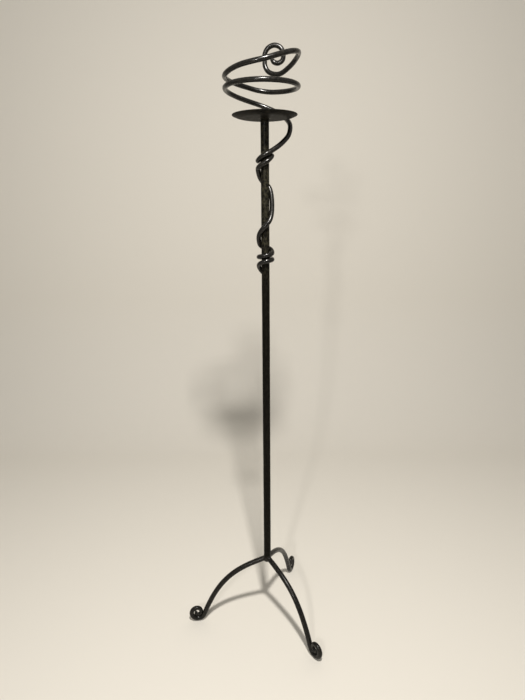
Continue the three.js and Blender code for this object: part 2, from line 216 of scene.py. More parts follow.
# %% A clear back for the paper
paper_nodes = paper.node_tree.nodes
sides = paper_nodes.new("ShaderNodeNewGeometry")
clear = paper_nodes.new("ShaderNodeBsdfTransparent")
one_sided = paper_nodes.new("ShaderNodeMixShader")
paper.node_tree.links.new(sides.outputs["Backfacing"], one_sided.inputs["Fac"])
paper.node_tree.links.new(paper_shader.outputs["BSDF"], one_sided.inputs[1])
paper.node_tree.links.new(clear.outputs["BSDF"], one_sided.inputs[2])
paper.node_tree.links.new(one_sided.outputs["Shader"], paper_nodes["Material Output"].inputs["Surface"])
print("the paper's back is clear")


# %% Lamps
def soft_lamp(name, place, target, size, watts, tint):
    """A square area lamp that looks at a target point."""
    lamp = bpy.data.lights.new(name, "AREA")
    lamp.shape = "SQUARE"
    lamp.size = size
    lamp.energy = watts
    lamp.color = tint
    holder = bpy.data.objects.new(name, lamp)
    bpy.context.scene.collection.objects.link(holder)
    aim = Vector(target) - Vector(place)
    turned = aim.to_track_quat("-Z", "Y").to_matrix().to_4x4()
    holder.matrix_world = Matrix.Translation(place) @ turned
    print("%s: %.0f W" % (name, watts))


soft_lamp(
    "lamp_above",
    place=(0.12, -0.96, 2.16),
    target=(0.04, 0.05, 0.75),
    size=0.14,
    watts=44.0,
    tint=(1.0, 0.96, 0.9),
)
soft_lamp(
    "lamp_front",
    place=(-0.5, -2.3, 1.62),
    target=(0.04, 0.0, 1.05),
    size=0.13,
    watts=16.0,
    tint=(1.0, 0.97, 0.92),
)

# %% The air
LIGHT_OF_AIR = 0.2
SIGHT_OF_AIR = 0.5

world = bpy.data.worlds.new("studio_air")
bpy.context.scene.world = world
world.use_nodes = True
air = world.node_tree.nodes["Background"]
air.inputs["Color"].default_value = (0.95, 0.93, 0.88, 1.0)

ray = world.node_tree.nodes.new("ShaderNodeLightPath")
seen = ray.outputs["Is Camera Ray"]
for kind in ("Is Glossy Ray", "Is Transmission Ray"):
    either = world.node_tree.nodes.new("ShaderNodeMath")
    either.operation = "MAXIMUM"
    world.node_tree.links.new(seen, either.inputs[0])
    world.node_tree.links.new(ray.outputs[kind], either.inputs[1])
    seen = either.outputs["Value"]
strength = world.node_tree.nodes.new("ShaderNodeMapRange")
strength.inputs["To Min"].default_value = LIGHT_OF_AIR
strength.inputs["To Max"].default_value = SIGHT_OF_AIR
world.node_tree.links.new(seen, strength.inputs["Value"])
world.node_tree.links.new(strength.outputs["Result"], air.inputs["Strength"])
bpy.context.scene.view_settings.view_transform = "Standard"
print("air: %.1f as light, %.1f to the eye" % (LIGHT_OF_AIR, SIGHT_OF_AIR))

# %% [markdown]
# ## Forged iron as a material
#
# Iron from the forge is nearly black. Its skin is a brittle oxide with patches of olive and
# brown wax in it, and where a cloth has rubbed the high places the bare metal comes through
# as pewter. All of the pieces share that story, so it is told once, in a node group. It puts
# out a colour, a metal mask, a roughness and a height that change over the surface, and each
# finish sets how much wax, rubbing and hammering it has. The shader stays in the material.


# %% Node helpers
def group_of(name, inputs, outputs):
    """An empty shader group with named sockets. Inputs are (name, kind, default)."""
    group = bpy.data.node_groups.new(name, "ShaderNodeTree")
    for socket_name, kind, default in inputs:
        socket = group.interface.new_socket(socket_name, in_out="INPUT", socket_type=kind)
        socket.default_value = default
    for socket_name, kind in outputs:
        group.interface.new_socket(socket_name, in_out="OUTPUT", socket_type=kind)
    return group, group.nodes.new("NodeGroupInput"), group.nodes.new("NodeGroupOutput")


def feed(tree, socket, source):
    """Sets a socket from a number or colour, or links it to another node's output."""
    if isinstance(source, (float, int, tuple)):
        socket.default_value = source
    else:
        tree.links.new(source, socket)


def noise(tree, vector, scale, detail, roughness):
    """Cloudy noise read at the given vector, with scale features to the metre."""
    node = tree.nodes.new("ShaderNodeTexNoise")
    node.inputs["Scale"].default_value = scale
    node.inputs["Detail"].default_value = detail
    node.inputs["Roughness"].default_value = roughness
    feed(tree, node.inputs["Vector"], vector)
    return node.outputs["Fac"]


def ramp(tree, value, low, high, to_low=0.0, to_high=1.0):
    """Stretches a value from low..high to to_low..to_high, with soft ends."""
    node = tree.nodes.new("ShaderNodeMapRange")
    node.interpolation_type = "SMOOTHSTEP"
    node.inputs["From Min"].default_value = low
    node.inputs["From Max"].default_value = high
    node.inputs["To Min"].default_value = to_low
    node.inputs["To Max"].default_value = to_high
    feed(tree, node.inputs["Value"], value)
    return node.outputs["Result"]


def combine(tree, operation, one, other):
    """Two values added, multiplied or compared by a math node."""
    node = tree.nodes.new("ShaderNodeMath")
    node.operation = operation
    feed(tree, node.inputs[0], one)
    feed(tree, node.inputs[1], other)
    return node.outputs["Value"]


def blend_colours(tree, share, first, second):
    """The first colour where the share is 0 and the second where it is 1."""
    node = tree.nodes.new("ShaderNodeMix")
    node.data_type = "RGBA"
    feed(tree, node.inputs["Factor"], share)
    feed(tree, node.inputs[6], first)
    feed(tree, node.inputs[7], second)
    return node.outputs[2]


# %% The forged skin group
def build_forged_skin():
    """Black oxide, olive wax in clouds, pewter where it is rubbed, and small pale specks. The
    height is broad hammering with fine scale on it."""
    group, given, result = group_of(
        "forged_skin",
        [
            ("Oxide colour", "NodeSocketColor", (0.01, 0.009, 0.008, 1.0)),
            ("Wax colour", "NodeSocketColor", (0.04, 0.036, 0.026, 1.0)),
            ("Bare colour", "NodeSocketColor", (0.3, 0.28, 0.25, 1.0)),
            ("Wax", "NodeSocketFloat", 1.0),
            ("Rubbing", "NodeSocketFloat", 0.4),
            ("Hammering", "NodeSocketFloat", 0.5),
            ("Roughness", "NodeSocketFloat", 0.35),
        ],
        [
            ("Colour", "NodeSocketColor"),
            ("Metal", "NodeSocketFloat"),
            ("Roughness", "NodeSocketFloat"),
            ("Height", "NodeSocketFloat"),
        ],
    )
    place = group.nodes.new("ShaderNodeTexCoord").outputs["Object"]
    clouds = noise(group, place, scale=140.0, detail=4.0, roughness=0.62)
    grit = noise(group, place, scale=520.0, detail=3.0, roughness=0.6)
    specks = noise(group, place, scale=1300.0, detail=2.0, roughness=0.5)
    dents = noise(group, place, scale=85.0, detail=1.0, roughness=0.4)

    waxed = combine(group, "MULTIPLY", ramp(group, clouds, 0.4, 0.66), given.outputs["Wax"])
    skin = blend_colours(group, waxed, given.outputs["Oxide colour"], given.outputs["Wax colour"])
    worn = combine(group, "MULTIPLY", ramp(group, grit, 0.52, 0.72), given.outputs["Rubbing"])
    flecked = combine(group, "MULTIPLY", ramp(group, specks, 0.64, 0.74), 0.3)
    bare = combine(group, "MAXIMUM", worn, flecked)
    colour = blend_colours(group, bare, skin, given.outputs["Bare colour"])
    cloudy_dullness = ramp(group, clouds, 0.3, 0.7, -0.05, 0.09)
    gritty_dullness = ramp(group, grit, 0.3, 0.7, -0.04, 0.06)
    dullness = combine(group, "ADD", cloudy_dullness, gritty_dullness)
    roughness = combine(group, "ADD", given.outputs["Roughness"], dullness)
    hammered = combine(group, "MULTIPLY", dents, given.outputs["Hammering"])
    height = combine(group, "ADD", hammered, combine(group, "MULTIPLY", grit, 0.08))
    group.links.new(colour, result.inputs["Colour"])
    group.links.new(bare, result.inputs["Metal"])
    group.links.new(roughness, result.inputs["Roughness"])
    group.links.new(height, result.inputs["Height"])
    return group


forged_skin = build_forged_skin()
print("forged_skin has", len(forged_skin.nodes), "nodes")


# %% Finishes from the group
BUMP_STRENGTH = 0.3
BUMP_DISTANCE = 0.0006


def forged_finish(name, oxide, wax, bare, amounts, gloss):
    """One iron finish. amounts are wax, rubbing and hammering, and gloss is the roughness and
    the specular level."""
    finish = bpy.data.materials.new(name)
    finish.use_nodes = True
    tree = finish.node_tree
    skin = tree.nodes.new("ShaderNodeGroup")
    skin.node_tree = forged_skin
    skin.inputs["Oxide colour"].default_value = (*oxide, 1.0)
    skin.inputs["Wax colour"].default_value = (*wax, 1.0)
    skin.inputs["Bare colour"].default_value = (*bare, 1.0)
    for socket, amount in zip(("Wax", "Rubbing", "Hammering"), amounts):
        skin.inputs[socket].default_value = amount
    roughness, level = gloss
    skin.inputs["Roughness"].default_value = roughness
    shader = tree.nodes["Principled BSDF"]
    shader.inputs["Specular IOR Level"].default_value = level
    bump = tree.nodes.new("ShaderNodeBump")
    bump.inputs["Strength"].default_value = BUMP_STRENGTH
    bump.inputs["Distance"].default_value = BUMP_DISTANCE
    tree.links.new(skin.outputs["Height"], bump.inputs["Height"])
    tree.links.new(skin.outputs["Colour"], shader.inputs["Base Color"])
    tree.links.new(skin.outputs["Metal"], shader.inputs["Metallic"])
    tree.links.new(skin.outputs["Roughness"], shader.inputs["Roughness"])
    tree.links.new(bump.outputs["Normal"], shader.inputs["Normal"])
    return finish


OXIDE = (0.0022, 0.0019, 0.0014)
OLIVE = (0.026, 0.0235, 0.014)
BROWN = (0.013, 0.0108, 0.007)
UMBER = (0.0185, 0.016, 0.011)
PEWTER = (0.15, 0.142, 0.12)
pole_iron = forged_finish("pole_iron", OXIDE, OLIVE, PEWTER, (0.9, 0.14, 0.25), (0.36, 0.06))
leg_iron = forged_finish("leg_iron", OXIDE, BROWN, PEWTER, (0.7, 0.1, 0.3), (0.24, 0.23))
rod_iron = forged_finish("rod_iron", OXIDE, BROWN, PEWTER, (0.4, 0.06, 0.14), (0.21, 0.38))
sheet_iron = forged_finish("sheet_iron", OXIDE, UMBER, PEWTER, (0.9, 0.05, 0.06), (0.5, 0.05))


# %% The pole painted lighter higher up, as a painted sheen
def wax_and_painted_sheen_by_height(finish, bottom, top, wax, rubbing):
    """The pole is painted lighter higher up, as painted sheen for the brighter light on its upper
    part: wax and rubbing grow from a low share to a high one between two heights in metres."""
    tree = finish.node_tree
    place = tree.nodes.new("ShaderNodeTexCoord").outputs["Object"]
    parts = tree.nodes.new("ShaderNodeSeparateXYZ")
    tree.links.new(place, parts.inputs["Vector"])
    skin = next(node for node in tree.nodes if node.type == "GROUP")
    for socket, (low_share, high_share) in (("Wax", wax), ("Rubbing", rubbing)):
        share = ramp(tree, parts.outputs["Z"], bottom, top, low_share, high_share)
        tree.links.new(share, skin.inputs[socket])


# Painted sheen: the pole's colour gets more olive wax and pewter from 0.86 m up.
wax_and_painted_sheen_by_height(pole_iron, 0.86, 0.98, wax=(0.2, 1.0), rubbing=(0.03, 0.16))
print("finishes:", ", ".join(m.name for m in (pole_iron, leg_iron, rod_iron, sheet_iron)))

# %% [markdown]
# ## Smooth lines for bent bar
#
# A smith bends bar by eye through a few marked places. The same idea makes the lines here:
# each bar is a short list of stations, a turn and a height, and a smooth function runs
# through them. Two steps do it. The first fills in reach and height between stations, the
# second lays a curve through the points that come out.


# %% Smooth values between stations
def between_stations(stations, turns):
    """Cubic steps through stations[:, 1:] at stations[:, 0]. In each span the slope at a
    station is that of its two neighbours, and the curve is straight at its ends."""
    knots = stations[:, 0]
    values = stations[:, 1:]
    last = len(knots) - 2
    span = np.clip(np.searchsorted(knots, turns, side="right") - 1, 0, last)
    start, end = knots[span], knots[span + 1]
    before = np.where(span == 0, 1, span - 1)
    after = np.where(span == last, last, np.minimum(span + 2, last + 1))
    start_gap = np.where(span == 0, start - end, start - knots[before])
    end_gap = np.where(span == last, start - end, knots[after] - end)
    half = (end - start) / 2
    w_before = (half / start_gap)[:, None]
    w_after = (half / end_gap)[:, None]
    p = ((turns - start) / (end - start))[:, None]
    p2, p3 = p * p, p * p * p
    return (
        (-w_before * p3 + 2 * w_before * p2 - w_before * p) * values[before]
        + ((1 + w_before) * p3 + (-1.5 - 2 * w_before) * p2 + (-0.5 + w_before) * p + 1) * values[span]
        + ((-1 - w_after) * p3 + (1.5 + w_after) * p2 + 0.5 * p) * values[span + 1]
        + (w_after * p3 - w_after * p2) * values[after]
    )


def evenly(start, end, step):
    """Turns from start to end at an even spacing near the step."""
    return np.linspace(start, end, int(round((end - start) / step)) + 1)


# %% A curve through points
def curve_through(points, per_span):
    """A centripetal curve through the points: each span is a cubic whose slopes come from the
    neighbouring points, weighted by the square roots of the gaps, so it never overshoots."""
    padded = np.vstack([2 * points[0] - points[1], points, 2 * points[-1] - points[-2]])
    gap = np.sqrt(np.linalg.norm(np.diff(padded, axis=0), axis=1))[:, None]
    g0, g1, g2 = gap[:-2], gap[1:-1], gap[2:]
    p0, p1, p2, p3 = padded[:-3], padded[1:-2], padded[2:-1], padded[3:]
    leaving = ((p1 - p0) / g0 - (p2 - p0) / (g0 + g1) + (p2 - p1) / g1) * g1
    arriving = ((p2 - p1) / g1 - (p3 - p1) / (g1 + g2) + (p3 - p2) / g2) * g1
    u = np.linspace(0.0, 1.0, per_span, endpoint=False)[None, :, None]
    spans = (
        (2 * u**3 - 3 * u**2 + 1) * p1[:, None]
        + (u**3 - 2 * u**2 + u) * leaving[:, None]
        + (-2 * u**3 + 3 * u**2) * p2[:, None]
        + (u**3 - u**2) * arriving[:, None]
    )
    return np.vstack([spans.reshape(-1, 3), points[-1:]])


def distance_along(line):
    """How far each point lies along the line."""
    return np.concatenate([[0.0], np.cumsum(np.linalg.norm(np.diff(line, axis=0), axis=1))])


# %% [markdown]
# ## A bar carried along its line
#
# A bar is a circle carried along the line without twisting. Forging leaves it a little out
# of round and a little uneven, which is what breaks up the long reflections on the real
# stand. So the circle's radius swells by a fraction of a millimetre with the distance and
# with the angle, as a sum of slow waves. Its ends are rounded off as a struck bar's are.


# %% Carry a section along a line
def headings_of(line):
    """The line's direction at each point, from its two neighbours."""
    step = np.gradient(line, axis=0)
    return step / np.linalg.norm(step, axis=1)[:, None]


def carried_sides(heading):
    """At each ring a direction square to the bar. It is passed on from ring to ring and only
    tilted as the bar bends, so the section never twists."""
    side = np.array([0.0, 1.0, 0.0])
    sides = np.empty_like(heading)
    for ring, ahead in enumerate(heading):
        side = side - ahead * (side @ ahead)
        side = side / np.linalg.norm(side)
        sides[ring] = side
    return sides


def rounded_tip(from_tip, length):
    """A quarter ellipse from nearly nothing at the tip to one at its length."""
    return np.sqrt(np.clip(1 - (1 - np.clip(from_tip / length, 0, 1)) ** 2, 0.01, 1))


def fine_tip(line, length, rings=7):
    """The line with close points over its last stretch, so that a rounded tip has its rings."""
    left = distance_along(line)[-1] - distance_along(line)
    kept = line[left > length * 1.15]
    marks = length * (1 - np.sin(np.linspace(0, np.pi / 2, rings)))
    tip = np.stack([np.interp(marks, left[::-1], line[::-1, k]) for k in range(3)], 1)
    return np.vstack([kept, tip])


# A wave's share, its length in mm, how often it goes round, its start and its share of the seed.
WAVES = (
    (0.4, 9.1, 2, 0.0, 1.0),
    (0.25, 5.3, -3, 0.0, 2.1),
    (0.35, 16.7, 1, 4.0, 1.0),
)


def forged_bar(name, line, radius, unevenness, tips=(0.0, 0.0), sides=32, seed=0.0):
    """line is in millimetres from the pole's axis and radius is one number per point. The
    surface is the centre plus the radius times the cosine of the angle one way and its sine
    the other, and slow waves of distance and angle take a little off the radius."""
    heading = headings_of(line)
    first = carried_sides(heading)[:, None, :]
    second = np.cross(heading[:, None, :], first)
    reached = distance_along(line)
    dome = np.ones_like(reached)
    if tips[0]:
        dome = dome * rounded_tip(reached, tips[0])
    if tips[1]:
        dome = dome * rounded_tip(reached[-1] - reached, tips[1])
    angle = np.linspace(0, 2 * np.pi, sides, endpoint=False)[None, :]
    d = reached[:, None]
    waves = sum(
        share * np.sin(d / length + times * angle + start + seeded * seed)
        for share, length, times, start, seeded in WAVES
    )
    reach = ((radius[:, None] - unevenness * (1 - waves)) * dome[:, None])[..., None]
    outwards = np.cos(angle)[..., None] * first + np.sin(angle)[..., None] * second
    points = from_pole_axis(line[:, None, :] + reach * outwards)
    piece = mesh_from_grid(name, points, closed_round=True, closed_ends=True, lengths=reached * MM)
    print("%s: %.0f mm of bar, %d faces" % (name, reached[-1], len(piece.data.polygons)))
    return piece


def dress(piece, finish, slot, *nodes):
    """Gives a piece its finish, hides the CAD nodes it stands for and sets it on the frame. The slot is
    not used.
    """
    piece.data.materials.append(finish)
    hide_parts(*nodes)
    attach(piece, "root")


# %% [markdown]
# ## Legs
#
# Three legs leave the pole almost level, arch over and run into a scroll that stands on the
# floor. The arch is one Bezier curve, and the scroll is a circle whose radius shrinks as it
# goes round. The bar is drawn thinner towards the scroll's tip, as it is on the real stand.

# %% The leg's sizes
LEG_RADIUS = 6.55
LEG_UNEVENNESS = 0.12
LEG_TIP_DOME = 3.0
LEG_ROOT_DEPTH = 0.5
POLE_RADIUS = 9.0
HUB_HEIGHT = 170.5
HUB_SLOPE = np.radians(16.5)
ARCH_SHOULDER = 86.0
ARCH_SHIN = 108.0
FOOT_REACH = 185.4
SCROLL_RADIUS = 16.3
SCROLL_TIP_RADIUS = 4.4
SCROLL = np.array([
    [202, 1.06], [236, 1.04], [270, 1], [360, 1], [450, 0.91], [500, 0.65], [545, 0.42],
    [590, 0.33], [640, 0.305], [700, 0.3], [745, 0.29], [780, 0.275],
])


# %% The leg's line
def scroll_line(steps=22):
    """The scroll in the leg's plane: reach times cosine outwards, reach times sine upwards."""
    turns = np.linspace(SCROLL[0, 0], SCROLL[-1, 0], steps + 1)
    reach = SCROLL_RADIUS * between_stations(SCROLL, turns)[:, 0]
    turn = np.radians(turns)
    out = FOOT_REACH + reach * np.cos(turn)
    high = SCROLL_RADIUS + LEG_RADIUS + reach * np.sin(turn)
    return np.stack([out, np.zeros_like(out), high], 1)


def arch_line(entry, count=12):
    """A Bezier arch from the pole to the scroll's entry, cut into equal lengths."""
    leaving = np.array([np.cos(HUB_SLOPE), 0, -np.sin(HUB_SLOPE)])
    turn = np.radians(SCROLL[0, 0])
    landing = np.array([-np.sin(turn), 0, np.cos(turn)])
    hub = np.array([POLE_RADIUS, 0, HUB_HEIGHT])
    u = np.linspace(0, 1, 400)[:, None]
    fine = (
        (1 - u) ** 3 * hub
        + 3 * (1 - u) ** 2 * u * (hub + ARCH_SHOULDER * leaving)
        + 3 * (1 - u) * u**2 * (entry - ARCH_SHIN * landing)
        + u**3 * entry
    )
    gone = distance_along(fine)
    marks = np.linspace(0, gone[-1], count + 1)
    even = np.stack([np.interp(marks, gone, fine[:, k]) for k in range(3)], 1)
    return np.vstack([hub - leaving * POLE_RADIUS / 2, even])


scroll = scroll_line()
leg_line = curve_through(np.vstack([arch_line(scroll[0]), scroll[1:]]), 7)
scroll_length = distance_along(curve_through(scroll, 7))[-1]
drawn_length = scroll_length - np.pi / 2 * SCROLL_RADIUS
print("leg line %.0f mm, scroll %.0f mm" % (distance_along(leg_line)[-1], scroll_length))


# %% Make the three legs
def leg_piece(name, heading_degrees, seed):
    """The leg's line turned about the pole to its heading. The line starts well inside the
    pole, and the piece starts just under the pole's wall."""
    line = fine_tip(leg_line[leg_line[:, 0] > POLE_RADIUS - LEG_ROOT_DEPTH], LEG_TIP_DOME)
    gone = distance_along(line)
    kept = np.clip((gone[-1] - gone) / drawn_length, 0, 1)
    radius = SCROLL_TIP_RADIUS + (LEG_RADIUS - SCROLL_TIP_RADIUS) * kept
    turn = np.radians(heading_degrees)
    turned = np.stack([line[:, 0] * np.cos(turn), line[:, 0] * np.sin(turn), line[:, 2]], 1)
    tips = (0.0, LEG_TIP_DOME)
    return forged_bar(name, turned, radius, LEG_UNEVENNESS, tips=tips, sides=36, seed=seed)


leg_headings = {"leg_rear": 67.5, "leg_left": 187.5, "leg_right": 307.5}
for count, (node, heading) in enumerate(leg_headings.items()):
    dress(leg_piece("forged_" + node, heading, 1.7 * count), leg_iron, "blackened_iron", node)

# %% [markdown]
# ## The climbing rod and the coil round the candle
#
# One thinner bar does all the ornament. It knots round the pole, climbs it, knots again and
# swings out past the plate's rim. There a second length takes over: it runs up behind the
# plate, goes nearly twice round the candle and ends in a standing eye. Both follow one
# flowing line, so that the joint between them shows only as a bead of weld.

# %% Sizes and stations of the rod
ROD_RADIUS = 5.0
SKIN = 0.3
ROD_TIP_RADIUS = 3.5
ROD_TIP_LENGTH = 9.0
ROD_UNEVENNESS = 0.08
KNOT_SLACK = 0.4
ROD_REACH = POLE_RADIUS + CLEARANCE + KNOT_SLACK + ROD_RADIUS
PLATE_RADIUS = 68.25
PLATE_RISE = 5.2
RIM_GAP = 3.4
RIM_REACH = PLATE_RADIUS + RIM_GAP + ROD_RADIUS
LOWER_KNOT_START = SEAT_HEIGHT - 323.5
UPPER_KNOT_START = SEAT_HEIGHT - 100.5
CLIMB_STEP = 27
SWING_STEP = 12

LOWER_KNOT = np.array([
    [110, 0], [181, 1.8], [278, 2.85], [359, 3.15], [450, 3.4], [541, 3.7],
    [630, 4.1], [719, 4.65], [766, 5.35], [859, 6.2],
])
LOOSE_CLIMB = np.array([
    [901, 0.1], [969, 0.23], [1036, 0.35], [1065, 0.45], [1092, 0.6], [1130, 0.75], [1200, 0.85],
])
UPPER_KNOT = np.array([
    [1261, -0.15], [1310, 0.45], [1362, 1.27], [1439, 2.5], [1530, 2.15], [1621, 1.5],
    [1674, 2.1], [1708, 2.6],
])
SWING = np.array([
    [1775, 0.07, 0.13], [1796, 0.21, 0.22], [1809, 0.38, 0.33], [1820, 0.6, 0.48],
    [1831, 0.78, 0.67], [1837, 0.88, 0.78], [1846, 1, 0.9],
])


# %% The climb's points
def round_an_axis(x, y, stations, turns):
    """Stations are turn, reach and height. A point lies at its reach from the axis, turned by
    its turn, at its height."""
    reach, height = between_stations(stations, turns).T
    turn = np.radians(turns)
    return np.stack([x + reach * np.cos(turn), y + reach * np.sin(turn), height], 1)


def snug(turns, height):
    """Stations of a rod that lies on the pole."""
    return np.stack([turns, np.full(len(turns), ROD_REACH), height], 1)


def climb_points():
    """Knot, loose climb, knot and swing. Rises in the knots are counted in rod diameters."""
    knot_top = LOWER_KNOT_START + LOWER_KNOT[-1, 1] * 2 * ROD_RADIUS
    knee = UPPER_KNOT_START + UPPER_KNOT[-1, 1] * 2 * ROD_RADIUS
    rim = SEAT_HEIGHT + PLATE_RISE
    stations = np.vstack([
        snug(LOWER_KNOT[:, 0], LOWER_KNOT_START + LOWER_KNOT[:, 1] * 2 * ROD_RADIUS),
        snug(LOOSE_CLIMB[:, 0], knot_top + (UPPER_KNOT_START - knot_top) * LOOSE_CLIMB[:, 1]),
        snug(UPPER_KNOT[:, 0], UPPER_KNOT_START + UPPER_KNOT[:, 1] * 2 * ROD_RADIUS),
        np.stack([
            SWING[:, 0],
            ROD_REACH + (RIM_REACH - ROD_REACH) * SWING[:, 1],
            knee + (rim - knee) * SWING[:, 2],
        ], 1),
    ])
    turns = np.concatenate([
        evenly(LOWER_KNOT[0, 0], SWING[0, 0], CLIMB_STEP)[:-1],
        evenly(SWING[0, 0], SWING[-1, 0], SWING_STEP),
    ])
    return round_an_axis(0, 0, stations, turns)


climb = climb_points()
print("rod: %d points from z %.0f to %.0f mm" % (len(climb), climb[0, 2], climb[-1, 2]))

# %% Stations of the coil and its eye
COIL_RADIUS = 77.0
COIL_X = -6.0
COIL_Y = 28.0
COIL_RISE = 123.5
COIL = np.array([
    [58, 0.166], [85, 0.301], [118, 0.403], [160, 0.474], [200, 0.494], [300, 0.502],
    [356, 0.51], [410, 0.528], [445, 0.555], [483, 0.632], [515, 0.664], [563, 0.686],
    [595, 0.733], [635, 0.8], [678, 0.945], [716, 1.016], [738, 0.983], [758, 0.905],
    [776, 0.83],
])
EYE_RADIUS = 29.1
EYE_RISE = 133.7
EYE_OFFSET_X = 28.0
EYE_SETBACK = 3.0
EYE_X = COIL_X + EYE_OFFSET_X
EYE_Y = COIL_Y + COIL_RADIUS + EYE_SETBACK
EYE_LEAD = 6.0
EYE_TURN = 0.17
QUARTER_TURN = 90
COIL_STEP = 20
EYE_STEP = 30
EYE = np.array([
    [86, 1.06], [118, 0.93], [150, 0.785], [181, 0.7], [214, 0.82], [245, 0.935], [278, 0.985],
    [304, 0.93], [336, 0.77], [349, 0.714], [365, 0.646], [383, 0.527], [403, 0.372],
    [434, 0.21], [509, 0.117], [580, 0.207],
])


# %% The coil's and the eye's points
def coil_points():
    """Reach stays the same all the way round, and only the height changes."""
    height = SEAT_HEIGHT + COIL[:, 1] * COIL_RISE
    stations = np.stack([COIL[:, 0], np.full(len(COIL), COIL_RADIUS), height], 1)
    return round_an_axis(COIL_X, COIL_Y, stations, evenly(COIL[0, 0], COIL[-1, 0], COIL_STEP))


def eye_points():
    """An upright curl, clockwise from its foot as the front sees it. Its foot starts a little
    in front of its plane and settles into it over the first quarter turn. The plane is turned
    slightly, so that its right side is nearer the front by EYE_TURN of the way out."""
    turns = evenly(EYE[0, 0], EYE[-1, 0], EYE_STEP)
    reach = EYE_RADIUS * between_stations(EYE, turns)[:, 0]
    turn = np.radians(turns)
    before = np.clip(1 - (turns - EYE[0, 0]) / QUARTER_TURN, 0, 1)
    x = EYE_X + reach * np.cos(turn)
    z = SEAT_HEIGHT + EYE_RISE - reach * np.sin(turn)
    nearer = EYE_LEAD * before**2 + EYE_TURN * reach * np.cos(turn)
    return np.stack([x, EYE_Y - nearer, z], 1)


RINGS = 9
flow = curve_through(np.vstack([climb, coil_points(), eye_points()]), RINGS)
joint = len(climb) * RINGS
print("one line of %d rings, joined at ring %d" % (len(flow), joint))


# %% Make the rod and the coil
def drawn_down(from_tip):
    """The bar's radius with its skin of scale and wax, drawn down over the last millimetres."""
    full = ROD_RADIUS + SKIN
    return ROD_TIP_RADIUS + (full - ROD_TIP_RADIUS) * np.clip(from_tip / ROD_TIP_LENGTH, 0, 1)


TIP_DOME = 2.6
rod_line = fine_tip(flow[: joint + 1][::-1], TIP_DOME)[::-1]
rod_radius = drawn_down(distance_along(rod_line))
rod = forged_bar(
    "forged_climbing_rod", rod_line, rod_radius, ROD_UNEVENNESS, tips=(TIP_DOME, 0.0), seed=0.4
)
dress(rod, rod_iron, "rubbed_iron", "climbing_rod")

coil_line = fine_tip(flow[joint:], TIP_DOME)
coil_radius = drawn_down(distance_along(coil_line)[-1] - distance_along(coil_line))
coil = forged_bar(
    "forged_candle_coil", coil_line, coil_radius, ROD_UNEVENNESS, tips=(0.0, TIP_DOME), seed=2.2
)
dress(coil, rod_iron, "rubbed_iron", "candle_coil")

# %% [markdown]
# ## Pole and drip plate
#
# Both are turned shapes: a profile carried round the pole's axis. The pole is a drawn tube
# with the same slight waviness as the bars. The plate is pressed sheet with a level middle,
# a rim that rises, and an edge that the press has rounded.


# %% Turn a profile round the axis
POLE_TAIL = 6.5
POLE_BOTTOM = HUB_HEIGHT - POLE_TAIL
POLE_WALL = 2.0
POLE_LIP = 0.5
POLE_SIDES = 48


def turned_points(profile, sides, wave=0.0):
    """profile lists radius and height. The point at angle a is radius cos a, radius sin a and
    height, and wave is added to the radius."""
    angle = np.linspace(0, 2 * np.pi, sides, endpoint=False)[None, :]
    radius = profile[:, :1] + wave + 0 * angle
    height = profile[:, 1:] + 0 * angle
    return np.stack([radius * np.cos(angle), radius * np.sin(angle), height], -1)


def pole_profile():
    """The tube's outer wall, its lips and its bore, back down to the start."""
    bottom = POLE_BOTTOM
    bore = POLE_RADIUS - POLE_WALL
    rise = np.linspace(bottom + POLE_LIP, pole_top_mm - 0.2, 260)
    outer = np.stack([np.full_like(rise, POLE_RADIUS), rise], 1)
    lip = [[POLE_RADIUS - POLE_LIP, bottom], [POLE_RADIUS - 0.15, bottom + 0.15]]
    back = [[POLE_RADIUS - 0.2, pole_top_mm], [bore, pole_top_mm], [bore, bottom]]
    return np.vstack([lip, outer, back])


# %% The pole
def pole_wave(height):
    """Two waves of height and angle, less their greatest sum, so that they only take away."""
    angle = np.linspace(0, 2 * np.pi, POLE_SIDES, endpoint=False)[None, :]
    slow = 0.05 * np.sin(height / 19.0 + 2 * angle)
    quick = 0.03 * np.sin(height / 7.0 - 3 * angle + 1.0)
    return slow + quick - 0.08


profile = pole_profile()
pole_points = from_pole_axis(turned_points(profile, POLE_SIDES, pole_wave(profile[:, 1:])))
pole = mesh_from_grid(
    "drawn_pole", pole_points, closed_round=True, closed_along=True, lengths=profile[:, 1] * MM
)
dress(pole, pole_iron, "blackened_iron", "pole")
print("pole: %d faces" % len(pole.data.polygons))


# %% The drip plate
PLATE_SEAT_RADIUS = 46.0
PLATE_SIDES = 128


def plate_profile():
    """From the middle of the underside out to the rounded edge and back over the top. The rim
    rises with the square of the way out."""
    seat = PLATE_SEAT_RADIUS
    half = PLATE_THICKNESS / 2
    out = np.linspace(0, 1, 24)
    rim = np.stack([seat + (PLATE_RADIUS - half - seat) * out, PLATE_RISE * out**2], 1)
    middle = np.array([[2.0, 0.0], [12.0, 0.0], [28.0, 0.0], [40.0, 0.0]])
    under = np.vstack([middle, rim])
    turn = np.linspace(-np.pi / 2, np.pi / 2, 9)[1:-1]
    edge = np.stack([
        PLATE_RADIUS - half + half * np.cos(turn),
        PLATE_RISE + half + half * np.sin(turn),
    ], 1)
    profile = np.vstack([under, edge, under[::-1] + [0.0, PLATE_THICKNESS]])
    return profile + [0.0, SEAT_HEIGHT - PLATE_THICKNESS]


plate_points = from_pole_axis(turned_points(plate_profile(), PLATE_SIDES))
plate = mesh_from_grid("pressed_drip_plate", plate_points, closed_round=True, closed_ends=True)
dress(plate, sheet_iron, "plate_iron", "drip_plate")
print("plate: %d faces" % len(plate.data.polygons))

# %% [markdown]
# ## The welds
#
# The stand is one rigid frame because it is welded. Where a leg meets the pole, the smith
# has run a fillet all round and dressed it smooth, so the leg seems to flow into the pole. A
# fillet is a strip whose one edge lies on the bar and whose other edge lies on the pole, with
# a hollow curve between them. The strip is closed behind, inside the metal, so that it is a
# solid ring. The tacks that hold the knots are just small lumps.

